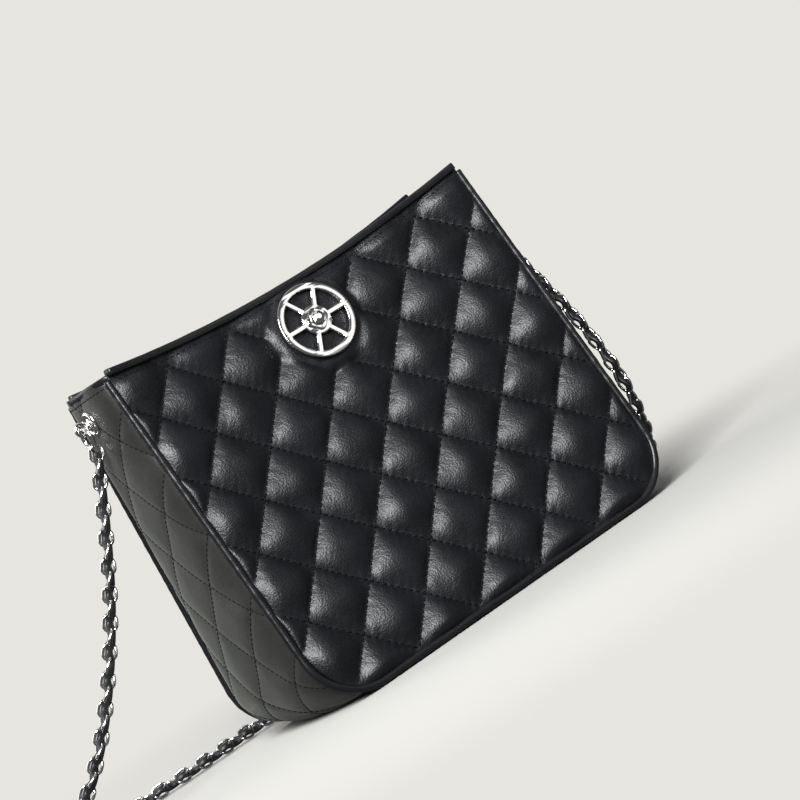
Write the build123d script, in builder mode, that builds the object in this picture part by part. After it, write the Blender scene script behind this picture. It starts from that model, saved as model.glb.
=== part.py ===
"""Quilted leather bucket bag with a chain and leather shoulder strap.

Frame: +Z up, X across the bag, the front faces -Y.
The origin is at the middle of the footprint, on the surface the bag stands on.
"""
from build123d import *
import math
import os

# ---------------------------------------------------------------- driving dimensions, mm
SEAM_WIDTH = 198.0          # across the front, from seam to seam
CORNER_TOP = 176.0          # height of the four upper corners
MOUTH_DIP = 7.0             # how far the top edge dips at the middle
SEAM_BASE = 4.0             # height of the panels' bottom seam
CORNER_RADIUS = 24.0        # lower corners of the panels
DEPTH_BASE = 106.0          # front to back at the foot
DEPTH_MOUTH = 58.0          # front to back at the upper corners
BOW_MOUTH = 12.0            # the top centre of each panel lies inside its upper corners by this much
BOW_BASE = 0.5              # the same at the foot, where the panels are nearly flat
SIDE_BULGE = 8.0            # the gusset swells past the seams by this much at each side
SHOULDER_DEPTH = 8.0        # behind the seam, where most of that swelling is already reached
SHOULDER_SHARE = 0.65
CROWN_HALF = 8.0            # half the depth of the gusset's flat crown, where the strap is fixed

LEATHER = 1.4               # skin of the quilted panels
WADDING = 4.0
LINING = 0.8
FACING = 1.0
STRIP_LEATHER = 1.6         # the gusset is a heavier leather

BINDING_HEIGHT = 3.0
BINDING_NEAR = 0.8          # the binding is thinner than the padding below it
BINDING_FAR = 5.2
FACING_HEIGHT = 28.0

PIPING_RADIUS = 1.7
PIPING_DEPTH = 5.2          # centre of the piping, behind the crown of the quilting
FLANGE = 0.8                # tape of the piping, caught in the seam
FLANGE_NEAR = 6.5
FLANGE_INSET = 4.0
CLEARANCE = 0.3             # between the front panel, which opens, and the gusset
OVERCUT = 1.0               # how far a cutting tool runs past what it cuts

ORNAMENT_HEIGHT = 147.0
ORNAMENT_RADIUS = 18.0
ORNAMENT_BAND = 3.2
ORNAMENT_PLATE = 1.5
ORNAMENT_BARS = 6
ORNAMENT_BAR = 2.24         # width of a bar
ORNAMENT_LIFT = 0.45        # the flat plate bridges the hollow of the bowed panel
HUB_RADIUS = 7.5
STUD_SIZE = 9.0
STUD_BASE = 1.2
DOME_RADIUS = 3.6
DOME_HEIGHT = 2.4
DOME_FACETS = 8
DOME_TAPER = 35.0           # degrees
SHANK_RADIUS = 1.5
WASHER_RADIUS = 6.0
WASHER_THICKNESS = 0.8
WASHER_SEAT = 4.0           # depth of the ornament's washer inside the wadding

SNAP_HEIGHT = 150.0
SNAP_RADIUS = 7.5
SNAP_PLATE = 2.4
SNAP_BOSS_RADIUS = 2.5
SNAP_BOSS = 2.2

ANCHOR_HEIGHT = 160.0
ANCHOR_RADIUS = 6.0
ANCHOR_PLATE = 1.2
ANCHOR_WASHER_RADIUS = 5.0
BARREL_RADIUS = 2.3
NECK_RADIUS = 1.2
EYE_RADIUS = 2.7            # centreline of the anchor's eye
EYE_REACH = 5.0             # from the gusset to the middle of the eye
RING_RADIUS = 4.6           # centreline of the strap ring
WIRE_RADIUS = 0.9

POCKET_HALF = 62.0
POCKET_FOOT = 36.0
POCKET_TOP = 122.0
POCKET_GAP = 1.2
POCKET_SEAM = 2.0

STRAP_DIAMETER = 7.5
STRAP_FLEX = 0.45           # share of the shorter run that each bend takes up
STRAP_ROUTE = (
    (-112, 0, 148),
    (-131, 2, 108),
    (-156, 5, 68),
    (-184, 9, 34),
    (-217, 15, 10),
    (-252, 24, 3.8),
    (-279, 46, 3.8),
    (-282, 78, 3.8),
    (-258, 99, 3.8),
    (-220, 103, 3.8),
    (-174, 95, 3.8),
    (-122, 82, 3.8),
    (-66, 84, 3.8),
    (-12, 76, 3.8),
    (40, 76, 3.8),
    (79, 88, 3.8),
    (96, 119, 3.8),
    (77, 148, 3.8),
    (46, 158, 3.8),
    (28, 184, 3.8),
    (40, 213, 3.8),
    (72, 224, 3.8),
    (104, 206, 3.8),
    (128, 172, 3.8),
    (140, 130, 3.8),
    (142, 86, 3.8),
    (136, 40, 3.9),
    (128, 3, 12),
    (124, -15, 46),
    (120, -15, 84),
    (115, -7, 118),
    (112, 0, 148),
)

# ---------------------------------------------------------------- derived values
HALF = SEAM_WIDTH / 2
LEAN = math.atan((DEPTH_BASE - DEPTH_MOUTH) / 2 / CORNER_TOP)
PANEL_BACK = LEATHER + WADDING
LINING_BACK = PANEL_BACK + LINING
FACING_BACK = LINING_BACK + FACING
FLANGE_BACK = FLANGE_NEAR + FLANGE
REACH = HALF + 2 * OVERCUT
ABOVE = 188.0               # blocks are made this tall, then cut to the mouth
GUSSET_TOP = 174.0          # the gusset stops just below the upper corners
SIDE_FACE = HALF + SIDE_BULGE
CENTRE_SLOPE = ((DEPTH_BASE - DEPTH_MOUTH) / 2 + BOW_MOUTH - BOW_BASE) / CORNER_TOP
CENTRE_LEAN = math.atan(CENTRE_SLOPE)

FRONT = -1
BACK = 1
LEFT = -1
RIGHT = 1

os.makedirs("parts", exist_ok=True)


def save(builder, name):
    """Label a finished piece and write it to its own STEP file."""
    builder.part.label = name
    export_step(builder.part, f"parts/{name}.step")


# ---------------------------------------------------------------- shared geometry
def half_depth(height):
    """Distance from the middle of the bag to the outer face of a panel at its side seams."""
    return (DEPTH_BASE - (DEPTH_BASE - DEPTH_MOUTH) * height / CORNER_TOP) / 2


def bow(height):
    """How far the middle of a panel lies inside its side seams."""
    return BOW_BASE + (BOW_MOUTH - BOW_BASE) * height / CORNER_TOP


def seam_plane(side, depth):
    """Plane parallel to a panel's side seams, at a depth behind its outer face; +Y is up the panel."""
    foot = side * (DEPTH_BASE / 2 - depth / math.cos(LEAN))
    facing = (0, -math.cos(LEAN), -side * math.sin(LEAN))
    return Plane(origin=(0, foot, 0), x_dir=(1, 0, 0), z_dir=facing)


def mouth_sag(half_width):
    """Drop of the mouth's arc between its middle and a point this far to the side."""
    radius = (HALF ** 2 + MOUTH_DIP ** 2) / (2 * MOUTH_DIP)
    return radius - math.sqrt(radius ** 2 - half_width ** 2)


def centre_plane(side, height, depth):
    """Plane on the middle of a panel, facing out of the bag, at a depth behind its outer face."""
    out = side * (half_depth(height) - bow(height))
    facing = (0, side * math.cos(CENTRE_LEAN), math.sin(CENTRE_LEAN))
    surface = Plane(origin=(0, out, height), x_dir=(-side, 0, 0), z_dir=facing)
    return surface.offset(-depth * math.cos(CENTRE_LEAN))


def side_plane(side):
    """Plane on the side of the gusset at a strap anchor, facing out of the bag."""
    return Plane(origin=(side * SIDE_FACE, 0, ANCHOR_HEIGHT), x_dir=(0, side, 0), z_dir=(side, 0, 0))


def u_outline(half_width, base, radius, top, dip, mode=Mode.ADD):
    """Face with square upper corners, rounded lower corners and a top edge that dips by dip."""
    with BuildLine() as outline:
        cup = FilletPolyline(
            (-half_width, top), (-half_width, base), (half_width, base), (half_width, top), radius=radius
        )
        if dip:
            ThreePointArc(cup @ 1, (0, top - dip), cup @ 0)
        else:
            Line(cup @ 1, cup @ 0)
    make_face(outline.edges(), mode=mode)


def mouth_outline(half_width, base, radius, drop):
    """The panel's outline at any width, its top edge parallel to the mouth and drop below it."""
    sag = mouth_sag(half_width)
    u_outline(half_width, base, radius, CORNER_TOP - MOUTH_DIP + sag - drop, sag)


def layer(side, near, far, inset, drop, bottom=None):
    """One bowed layer of a panel, between two depths, cut to the panel's outline.

    inset draws the sides and the foot in, drop lowers the top edge, and bottom, if given,
    is how far below the top edge the layer stops.
    """
    with BuildPart() as block:
        for height in (0, ABOVE):
            face = half_depth(height)
            with BuildSketch(Plane.XY.offset(height)):
                with BuildLine():
                    outer = ThreePointArc(
                        (-REACH, side * (face - near)),
                        (0, side * (face - near - bow(height))),
                        (REACH, side * (face - near)),
                    )
                    inner = ThreePointArc(
                        (-REACH, side * (face - far)),
                        (0, side * (face - far - bow(height))),
                        (REACH, side * (face - far)),
                    )
                    Line(outer @ 0, inner @ 0)
                    Line(outer @ 1, inner @ 1)
                make_face()
        loft(ruled=True)
        with BuildSketch(Plane.XZ):
            mouth_outline(HALF - inset, SEAM_BASE + inset, CORNER_RADIUS - inset, drop)
        extrude(amount=DEPTH_BASE, both=True, mode=Mode.INTERSECT)
        if bottom:
            with BuildSketch(Plane.XZ):
                mouth_outline(SEAM_WIDTH, -SEAM_WIDTH, CORNER_RADIUS, bottom)
            extrude(amount=DEPTH_BASE, both=True, mode=Mode.SUBTRACT)
    return block.part


def gusset_block(shrink, lift):
    """Solid that fills the gusset, drawn in by shrink at the sides and raised by lift at the foot."""
    sections = (
        (seam_plane(FRONT, FLANGE_BACK + CLEARANCE), HALF, SEAM_BASE),
        (seam_plane(FRONT, FLANGE_BACK + SHOULDER_DEPTH), HALF + SIDE_BULGE * SHOULDER_SHARE, 0),
        (Plane.XZ.offset(CROWN_HALF), SIDE_FACE, 0),
        (Plane.XZ.offset(-CROWN_HALF), SIDE_FACE, 0),
        (seam_plane(BACK, FLANGE_BACK + SHOULDER_DEPTH), HALF + SIDE_BULGE * SHOULDER_SHARE, 0),
        (seam_plane(BACK, FLANGE_BACK), HALF, SEAM_BASE),
    )
    with BuildPart() as block:
        for plane, half_width, base in sections:
            with BuildSketch(plane):
                u_outline(half_width - shrink, base + lift, CORNER_RADIUS - shrink, ABOVE + lift, 0)
        loft(ruled=True)
    return block.part


def gusset_shell(outer, inner, top, bottom=0):
    """Strip between two gusset blocks, each given as (shrink, lift), cut level at top and bottom."""
    strip_outer = gusset_block(*outer)
    strip_inner = gusset_block(*inner)
    with BuildPart() as shell:
        add(strip_outer)
        add(strip_inner, mode=Mode.SUBTRACT)
        split(bisect_by=Plane.XY.offset(top), keep=Keep.BOTTOM)
        if bottom:
            split(bisect_by=Plane.XY.offset(bottom), keep=Keep.TOP)
    return shell.part


def anchor_holes():
    """Holes through both sides of the gusset for the strap anchors."""
    with BuildSketch(Plane.YZ) as bore:
        with Locations((0, ANCHOR_HEIGHT)):
            Circle(BARREL_RADIUS)
    extrude(bore.sketch, amount=SIDE_FACE + OVERCUT, both=True, mode=Mode.SUBTRACT)


# ---------------------------------------------------------------- gusset, lining and base
BOARD_WIDTH = 146.0
BOARD_DEPTH = 64.0
BOARD_CORNER = 6.0
BOARD_THICKNESS = 1.6
LINING_SHRINK = STRIP_LEATHER + LINING
BOARD_GAP = 0.1
LINING_LIFT = STRIP_LEATHER + BOARD_THICKNESS + BOARD_GAP
FACING_SHRINK = LINING_SHRINK + FACING

gusset_strip = gusset_shell((0, 0), (STRIP_LEATHER, STRIP_LEATHER), GUSSET_TOP)
with BuildPart() as gusset:
    add(gusset_strip)
    anchor_holes()
save(gusset, "gusset")

lining_strip = gusset_shell(
    (STRIP_LEATHER, LINING_LIFT), (LINING_SHRINK, LINING_LIFT + LINING), GUSSET_TOP - BINDING_HEIGHT
)
with BuildPart() as gusset_lining:
    add(lining_strip)
    anchor_holes()
save(gusset_lining, "gusset_lining")

facing_strips = gusset_shell(
    (LINING_SHRINK, LINING_LIFT + LINING),
    (FACING_SHRINK, LINING_LIFT + LINING + FACING),
    GUSSET_TOP - BINDING_HEIGHT,
    GUSSET_TOP - FACING_HEIGHT,
)
binding_strips = gusset_shell(
    (STRIP_LEATHER, STRIP_LEATHER),
    (FACING_SHRINK, FACING_SHRINK),
    GUSSET_TOP,
    GUSSET_TOP - BINDING_HEIGHT,
)
for side, side_name in ((LEFT, "left"), (RIGHT, "right")):
    kept = Keep.TOP if side == RIGHT else Keep.BOTTOM
    with BuildPart() as gusset_facing:
        add(facing_strips)
        anchor_holes()
        split(bisect_by=Plane.YZ, keep=kept)
    save(gusset_facing, f"gusset_facing_{side_name}")

    with BuildPart() as gusset_binding:
        add(binding_strips)
        split(bisect_by=Plane.YZ, keep=kept)
    save(gusset_binding, f"gusset_binding_{side_name}")

with BuildPart() as base_board:
    with BuildSketch(Plane.XY.offset(STRIP_LEATHER)):
        RectangleRounded(BOARD_WIDTH, BOARD_DEPTH, BOARD_CORNER)
    extrude(amount=BOARD_THICKNESS)
save(base_board, "base_board")

# ---------------------------------------------------------------- front and back panels
PADDING_INSET = FLANGE_INSET + CLEARANCE
SNAP_WASHER_RADIUS = 5.0
SNAP_WASHER_THICKNESS = 0.6
BEAD_HALF = HALF + PIPING_RADIUS
BEAD_BASE = SEAM_BASE - PIPING_RADIUS
BEAD_CORNER = CORNER_RADIUS + PIPING_RADIUS
BEAD_TOP = CORNER_TOP - BINDING_HEIGHT

for side, side_name in ((FRONT, "front"), (BACK, "back")):
    skin = layer(side, 0, PANEL_BACK, 0, BINDING_HEIGHT)
    hollow = layer(side, LEATHER, PANEL_BACK + OVERCUT, LEATHER, BINDING_HEIGHT - OVERCUT)
    with BuildPart() as panel:
        add(skin)
        add(hollow, mode=Mode.SUBTRACT)
        if side == FRONT:
            with BuildSketch(centre_plane(side, ORNAMENT_HEIGHT, -OVERCUT)):
                Circle(SHANK_RADIUS)
            extrude(amount=-LEATHER - 2 * OVERCUT, mode=Mode.SUBTRACT)
    save(panel, f"{side_name}_panel")

    pad = layer(side, LEATHER, PANEL_BACK, PADDING_INSET, BINDING_HEIGHT)
    with BuildPart() as wadding:
        add(pad)
        if side == FRONT:
            with BuildSketch(centre_plane(side, ORNAMENT_HEIGHT, 0)):
                Circle(SHANK_RADIUS)
            extrude(amount=-PANEL_BACK - OVERCUT, mode=Mode.SUBTRACT)
            with BuildSketch(centre_plane(side, ORNAMENT_HEIGHT, WASHER_SEAT)):
                Circle(WASHER_RADIUS)
            extrude(amount=-WADDING, mode=Mode.SUBTRACT)
    save(wadding, f"{side_name}_wadding")

    cloth = layer(side, PANEL_BACK, LINING_BACK, PADDING_INSET, BINDING_HEIGHT)
    with BuildPart() as lining:
        add(cloth)
    save(lining, f"{side_name}_lining")

    strip = layer(side, LINING_BACK, FACING_BACK, PADDING_INSET, BINDING_HEIGHT, FACING_HEIGHT)
    with BuildPart() as facing:
        add(strip)
        with BuildSketch(centre_plane(side, SNAP_HEIGHT, LINING_BACK)):
            Circle(SNAP_WASHER_RADIUS)
        extrude(amount=-SNAP_WASHER_THICKNESS, mode=Mode.SUBTRACT)
    save(facing, f"{side_name}_facing")

    edge = layer(side, BINDING_NEAR, BINDING_FAR, 0, 0, BINDING_HEIGHT)
    with BuildPart() as binding:
        add(edge)
    save(binding, f"{side_name}_top_binding")

    with BuildPart() as piping:
        with BuildLine(seam_plane(side, PIPING_DEPTH)) as route:
            FilletPolyline(
                (-BEAD_HALF, BEAD_TOP),
                (-BEAD_HALF, BEAD_BASE),
                (BEAD_HALF, BEAD_BASE),
                (BEAD_HALF, BEAD_TOP),
                radius=BEAD_CORNER,
            )
        with BuildSketch(Plane(origin=route.line @ 0, z_dir=route.line % 0)):
            Circle(PIPING_RADIUS)
        sweep()
        with BuildSketch(seam_plane(side, FLANGE_BACK)):
            u_outline(BEAD_HALF, BEAD_BASE, BEAD_CORNER, BEAD_TOP, 0)
            u_outline(
                HALF - FLANGE_INSET,
                SEAM_BASE + FLANGE_INSET,
                CORNER_RADIUS - FLANGE_INSET,
                CORNER_TOP,
                0,
                mode=Mode.SUBTRACT,
            )
        extrude(amount=-side * FLANGE)
    save(piping, f"{side_name}_piping")

    seat = centre_plane(side, SNAP_HEIGHT, FACING_BACK)
    with BuildPart() as snap:
        with BuildSketch(seat):
            Circle(SNAP_RADIUS)
        extrude(amount=-SNAP_PLATE)
        with BuildSketch(seat.offset(-SNAP_PLATE)):
            Circle(SNAP_BOSS_RADIUS)
        if side == FRONT:
            extrude(amount=-SNAP_BOSS)
        else:
            extrude(amount=SNAP_PLATE / 2, mode=Mode.SUBTRACT)
    save(snap, f"snap_{side_name}")

    with BuildPart() as snap_washer:
        with BuildSketch(centre_plane(side, SNAP_HEIGHT, LINING_BACK)):
            Circle(SNAP_WASHER_RADIUS)
            Circle(SHANK_RADIUS, mode=Mode.SUBTRACT)
        extrude(amount=-SNAP_WASHER_THICKNESS)
    save(snap_washer, f"snap_washer_{side_name}")

# ---------------------------------------------------------------- slip pocket on the back lining
POCKET_MIDDLE = (POCKET_FOOT + POCKET_TOP) / 2
POCKET_HEIGHT = POCKET_TOP - POCKET_FOOT

pocket_wall = layer(BACK, LINING_BACK, LINING_BACK + POCKET_GAP + LINING, 0, 0)
pocket_gap = layer(BACK, LINING_BACK - OVERCUT, LINING_BACK + POCKET_GAP, 0, 0)
with BuildPart() as pocket_room:
    add(pocket_gap)
    with BuildSketch(Plane.XZ):
        with Locations((0, POCKET_MIDDLE + POCKET_SEAM)):
            Rectangle(2 * (POCKET_HALF - POCKET_SEAM), POCKET_HEIGHT)
    extrude(amount=DEPTH_BASE, both=True, mode=Mode.INTERSECT)

with BuildPart() as slip_pocket:
    add(pocket_wall)
    with BuildSketch(Plane.XZ):
        with Locations((0, POCKET_MIDDLE)):
            Rectangle(2 * POCKET_HALF, POCKET_HEIGHT)
    extrude(amount=DEPTH_BASE, both=True, mode=Mode.INTERSECT)
    add(pocket_room.part, mode=Mode.SUBTRACT)
save(slip_pocket, "slip_pocket")

# ---------------------------------------------------------------- ornament
ornament_seat = centre_plane(FRONT, ORNAMENT_HEIGHT, -ORNAMENT_LIFT)
with BuildPart() as ornament_plate:
    with BuildSketch(ornament_seat):
        Circle(ORNAMENT_RADIUS)
        Circle(ORNAMENT_RADIUS - ORNAMENT_BAND, mode=Mode.SUBTRACT)
        with PolarLocations((ORNAMENT_RADIUS - ORNAMENT_BAND / 2) / 2, ORNAMENT_BARS):
            Rectangle(ORNAMENT_RADIUS - ORNAMENT_BAND / 2, ORNAMENT_BAR)
        Circle(HUB_RADIUS)
        Circle(SHANK_RADIUS, mode=Mode.SUBTRACT)
    extrude(amount=ORNAMENT_PLATE)
save(ornament_plate, "ornament_plate")

stud_seat = ornament_seat.offset(ORNAMENT_PLATE)
with BuildPart() as ornament_stud:
    with BuildSketch(stud_seat):
        RectangleRounded(STUD_SIZE, STUD_SIZE, STUD_SIZE / 4)
    extrude(amount=STUD_BASE)
    with BuildSketch(stud_seat.offset(STUD_BASE)):
        RegularPolygon(DOME_RADIUS, DOME_FACETS)
    extrude(amount=DOME_HEIGHT, taper=DOME_TAPER)
    with BuildSketch(stud_seat):
        Circle(SHANK_RADIUS)
    extrude(amount=-ORNAMENT_PLATE - ORNAMENT_LIFT - WASHER_SEAT - WASHER_THICKNESS)
save(ornament_stud, "ornament_stud")

with BuildPart() as ornament_washer:
    with BuildSketch(centre_plane(FRONT, ORNAMENT_HEIGHT, WASHER_SEAT)):
        Circle(WASHER_RADIUS)
        Circle(SHANK_RADIUS, mode=Mode.SUBTRACT)
    extrude(amount=-WASHER_THICKNESS)
save(ornament_washer, "ornament_washer")

# ---------------------------------------------------------------- strap anchors and rings
WALL = STRIP_LEATHER + LINING + FACING
for side, side_name in ((LEFT, "left"), (RIGHT, "right")):
    with BuildPart() as anchor:
        with BuildSketch(side_plane(side)):
            Circle(ANCHOR_RADIUS)
        extrude(amount=ANCHOR_PLATE)
        with BuildSketch(side_plane(side)):
            Circle(BARREL_RADIUS)
        extrude(amount=-WALL - WASHER_THICKNESS)
        with BuildSketch(side_plane(side).offset(ANCHOR_PLATE)):
            Circle(NECK_RADIUS)
        extrude(amount=EYE_REACH - EYE_RADIUS - ANCHOR_PLATE)
        with Locations(Plane(origin=(side * (SIDE_FACE + EYE_REACH), 0, ANCHOR_HEIGHT), z_dir=(0, 1, 0))):
            Torus(EYE_RADIUS, WIRE_RADIUS)
    save(anchor, f"strap_anchor_{side_name}")

    with BuildPart() as anchor_washer:
        with BuildSketch(side_plane(side).offset(-WALL)):
            Circle(ANCHOR_WASHER_RADIUS)
            Circle(BARREL_RADIUS, mode=Mode.SUBTRACT)
        extrude(amount=-WASHER_THICKNESS)
    save(anchor_washer, f"strap_washer_{side_name}")

    ring_centre = (side * (SIDE_FACE + EYE_REACH), 0, ANCHOR_HEIGHT - RING_RADIUS)
    with BuildPart() as ring:
        with Locations(Plane(origin=ring_centre, z_dir=(1, 0, 0))):
            Torus(RING_RADIUS, WIRE_RADIUS)
    save(ring, f"strap_ring_{side_name}")

# ---------------------------------------------------------------- strap
points = [Vector(*place) for place in STRAP_ROUTE]
bends = []
for before, here, after in zip(points, points[1:], points[2:]):
    turn = math.radians((here - before).get_angle(after - here))
    shorter = min((here - before).length, (after - here).length)
    bends.append(STRAP_FLEX * shorter / math.tan(turn / 2))
print("strap bend radii, mm:", [round(radius) for radius in bends])

with BuildPart() as strap:
    with BuildLine() as route:
        FilletPolyline(*points, radius=bends)
    with BuildSketch(Plane(origin=route.line @ 0, z_dir=route.line % 0)):
        Circle(STRAP_DIAMETER / 2)
    sweep()
section = math.pi * STRAP_DIAMETER ** 2 / 4
strap_length = sum(edge.length for edge in route.edges())
print("strap length, mm:", round(strap_length))
print("strap volume over section times length:", round(strap.part.volume / (section * strap_length), 4))
save(strap, "strap")
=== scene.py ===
"""Looks of the quilted leather bucket bag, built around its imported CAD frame.

Frame: +Z up, X across the bag, the front faces -Y; metres.
"""

from math import asin, atan, atan2, cos, pi, radians, sin, sqrt

import bmesh
import bpy
import numpy as np
from mathutils import Matrix, Vector


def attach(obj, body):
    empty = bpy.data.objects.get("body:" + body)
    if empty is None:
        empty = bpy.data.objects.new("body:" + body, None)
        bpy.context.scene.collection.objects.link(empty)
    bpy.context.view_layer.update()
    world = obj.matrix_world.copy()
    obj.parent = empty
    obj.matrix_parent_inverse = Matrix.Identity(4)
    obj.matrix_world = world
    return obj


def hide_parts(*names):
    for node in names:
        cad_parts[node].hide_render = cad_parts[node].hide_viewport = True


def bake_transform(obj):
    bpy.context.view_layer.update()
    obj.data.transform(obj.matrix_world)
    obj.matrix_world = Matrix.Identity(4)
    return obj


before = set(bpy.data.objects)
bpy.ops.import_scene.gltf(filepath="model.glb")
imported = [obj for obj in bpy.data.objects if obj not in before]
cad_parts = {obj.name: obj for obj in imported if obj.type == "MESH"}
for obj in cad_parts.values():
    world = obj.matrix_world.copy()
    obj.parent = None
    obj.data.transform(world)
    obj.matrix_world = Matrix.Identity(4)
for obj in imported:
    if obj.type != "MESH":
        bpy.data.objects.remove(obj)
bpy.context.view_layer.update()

MM = 0.001
TAU = 2 * pi
FRONT, BACK = -1, 1
LEFT, RIGHT = -1, 1
ENDS = ((LEFT, "left"), (RIGHT, "right"))
PANELS = ((FRONT, "front", "front"), (BACK, "back", "bag"))  # side, name, body

# ---- sizes shared with the CAD, metres
HALF = 99 * MM
CORNER_TOP = 176 * MM
MOUTH_DIP = 7 * MM
SEAM_BASE = 4 * MM
CORNER_RADIUS = 24 * MM
DEPTH_BASE = 106 * MM
DEPTH_MOUTH = 58 * MM
BOW_MOUTH = 12 * MM
BOW_BASE = 0.5 * MM
SIDE_BULGE = 8 * MM
REACH = HALF + 2 * MM
LEAN = atan((DEPTH_BASE - DEPTH_MOUTH) / 2 / CORNER_TOP)
CENTRE_LEAN = atan(((DEPTH_BASE - DEPTH_MOUTH) / 2 + BOW_MOUTH - BOW_BASE) / CORNER_TOP)
MOUTH_ARC = (HALF ** 2 + MOUTH_DIP ** 2) / (2 * MOUTH_DIP)
SIDE_FACE = HALF + SIDE_BULGE
ANCHOR_HEIGHT = 160 * MM
EYE_REACH = 5 * MM
ORNAMENT_HEIGHT = 147 * MM
ORNAMENT_LIFT = 0.45 * MM


def half_depth(z):
    """Distance from the middle of the bag to the outer face of a panel at its side seams."""
    return (DEPTH_BASE - (DEPTH_BASE - DEPTH_MOUTH) * z / CORNER_TOP) / 2


def bow(z):
    """How far the middle of a panel lies inside its side seams."""
    return BOW_BASE + (BOW_MOUTH - BOW_BASE) * z / CORNER_TOP


def mouth_height(x):
    """Height of the top edge."""
    drop = np.sqrt(MOUTH_ARC ** 2 - np.minimum(np.abs(x), HALF) ** 2)
    return CORNER_TOP - MOUTH_DIP + MOUTH_ARC - drop


def panel_face(side, x, z, depth=0.0):
    """Points of a panel's smooth outer face, at a depth behind it."""
    y = side * (half_depth(z) - bow(z) * (1 - (x / REACH) ** 2) - depth)
    return np.stack([x, y, z], axis=-1)


# ---- mesh tools
def linked(name, data):
    """New object in the scene around a mesh, a camera or a light."""
    obj = bpy.data.objects.new(name, data)
    bpy.context.scene.collection.objects.link(obj)
    return obj


def face_outwards(mesh, merge=0):
    """Merge points nearer to each other than a distance, and turn the faces outwards."""
    bm = bmesh.new()
    bm.from_mesh(mesh)
    if merge:
        bmesh.ops.remove_doubles(bm, verts=bm.verts, dist=merge)
    bmesh.ops.recalc_face_normals(bm, faces=bm.faces)
    bm.to_mesh(mesh)
    bm.free()


def built(name, verts, faces, material, smooth=True):
    """Object from points and faces, with outward normals."""
    mesh = bpy.data.meshes.new(name)
    mesh.from_pydata([tuple(v) for v in np.asarray(verts, float)], [], [tuple(f) for f in faces])
    face_outwards(mesh)
    mesh.polygons.foreach_set("use_smooth", [smooth] * len(mesh.polygons))
    mesh.materials.append(material)
    return linked(name, mesh)


def declare(nodes):
    """Hide the CAD nodes that a piece stands for."""
    if nodes:
        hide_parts(*nodes)


def riding(piece, body, slot, *nodes):
    """A piece that moves with one body."""
    declare(nodes)
    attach(piece, body)


def mesh_of(curve):
    """Mesh of a curve, which is then removed."""
    carrier = bpy.data.objects.new(curve.name, curve)
    mesh = bpy.data.meshes.new_from_object(carrier)
    bpy.data.objects.remove(carrier)
    bpy.data.curves.remove(curve)
    return mesh


def grid_faces(rows, cols, start=0, wrap_rows=False, wrap_cols=False):
    """Quads of a grid of points kept row by row."""
    row, col = np.meshgrid(
        np.arange(rows if wrap_rows else rows - 1),
        np.arange(cols if wrap_cols else cols - 1),
        indexing="ij",
    )
    this_row, next_row = row * cols, (row + 1) % rows * cols
    next_col = (col + 1) % cols
    corners = [this_row + col, this_row + next_col, next_row + next_col, next_row + col]
    return (start + np.stack(corners, axis=-1)).reshape(-1, 4).tolist()


def end_faces(rows, cols):
    """The two faces that close a tube made of rows of points."""
    return [list(range(cols))[::-1], list(range((rows - 1) * cols, rows * cols))]


def sheet_between(outer, inner):
    """Points and faces of a closed sheet between two grids of the same size."""
    rows, cols, _ = outer.shape
    n = rows * cols
    verts = np.concatenate([outer.reshape(-1, 3), inner.reshape(-1, 3)])
    faces = grid_faces(rows, cols)
    faces += [f[::-1] for f in grid_faces(rows, cols, start=n)]
    index = np.arange(n).reshape(rows, cols)
    rim = np.concatenate([index[0, :], index[1:, -1], index[-1, -2::-1], index[-2:0:-1, 0]])
    turned = np.roll(rim, -1)
    faces += np.stack([turned, rim, rim + n, turned + n], axis=-1).tolist()
    return verts, faces


def joined(parts):
    """Several (points, faces) as one."""
    verts, faces, start = [], [], 0
    for points, polygons in parts:
        verts.append(np.asarray(points, float))
        faces += [[i + start for i in f] for f in polygons]
        start += len(points)
    return np.concatenate(verts), faces


def unit(v):
    """Vectors of length one."""
    return v / np.maximum(np.linalg.norm(v, axis=-1, keepdims=True), 1e-12)


def grid_normals(grid):
    """Unit normals of a grid of points."""
    return unit(np.cross(np.gradient(grid, axis=0), np.gradient(grid, axis=1)))


def smoothstep(x):
    """Smooth rise from 0 to 1, flat at both ends."""
    x = np.clip(x, 0, 1)
    return x * x * (3 - 2 * x)


def waves(a, b, size, seed, count=7):
    """Smooth uneven ripples about size apart, between about -1 and 1."""
    draw = np.random.default_rng(seed)
    total = np.zeros_like(a)
    for _ in range(count):
        angle, phase = draw.uniform(0, TAU, 2)
        reach = size * draw.uniform(0.7, 1.6)
        total = total + np.sin((a * cos(angle) + b * sin(angle)) * TAU / reach + phase)
    return total / sqrt(count)


def along(line):
    """Distance run along a line of points."""
    steps = np.linalg.norm(np.diff(line, axis=0), axis=1)
    return np.concatenate([[0], np.cumsum(steps)])


def at(line, run, where):
    """Points at given distances along a line."""
    return np.stack([np.interp(where, run, line[:, k]) for k in range(line.shape[1])], axis=1)


def true_runs(flags):
    """First and past-the-last place of each unbroken run of true flags."""
    cuts = np.flatnonzero(np.diff(np.concatenate([[0], flags.astype(int), [0]])))
    return zip(cuts[::2], cuts[1::2])


STITCH_SIDES = 6
# rings of a stitch: place along it in lengths, thickness and height in radii
STITCH_RINGS = (
    (-0.5, 0.35, -1.3), (-0.36, 0.85, -0.1), (0, 1, 0.15), (0.36, 0.85, -0.1), (0.5, 0.35, -1.3)
)


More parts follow.
